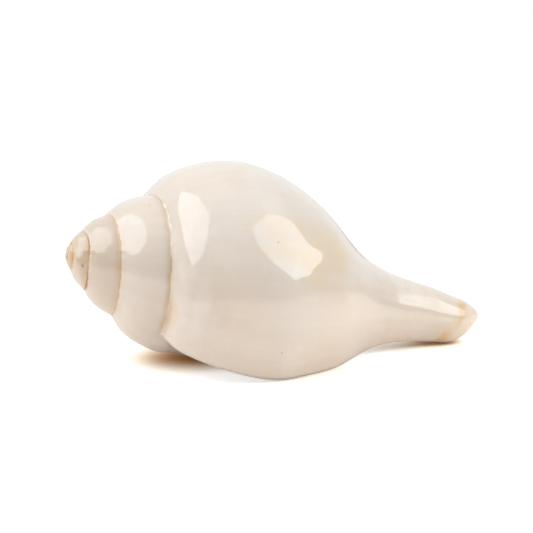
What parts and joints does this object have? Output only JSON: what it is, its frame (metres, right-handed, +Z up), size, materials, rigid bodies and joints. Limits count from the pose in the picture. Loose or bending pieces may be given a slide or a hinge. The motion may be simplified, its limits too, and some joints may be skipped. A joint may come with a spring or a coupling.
{
  "type": "conch shell",
  "caption": "Whole sea conch shell with a stepped spire, swollen body whorl, long open canal and folded pillar, lying on its opening.",
  "frame": {"origin": "middle of the box the shell fills, at the ground", "axes": "+X from the spire's tip to the canal's end, +Y away from the lip's side, +Z up"},
  "size_m": [0.1476, 0.0756, 0.0656],
  "materials": {
    "shell": "polished cream shell"
  },
  "bodies": {
    "root": {"shell": "shell"}
  },
  "joints": []
}
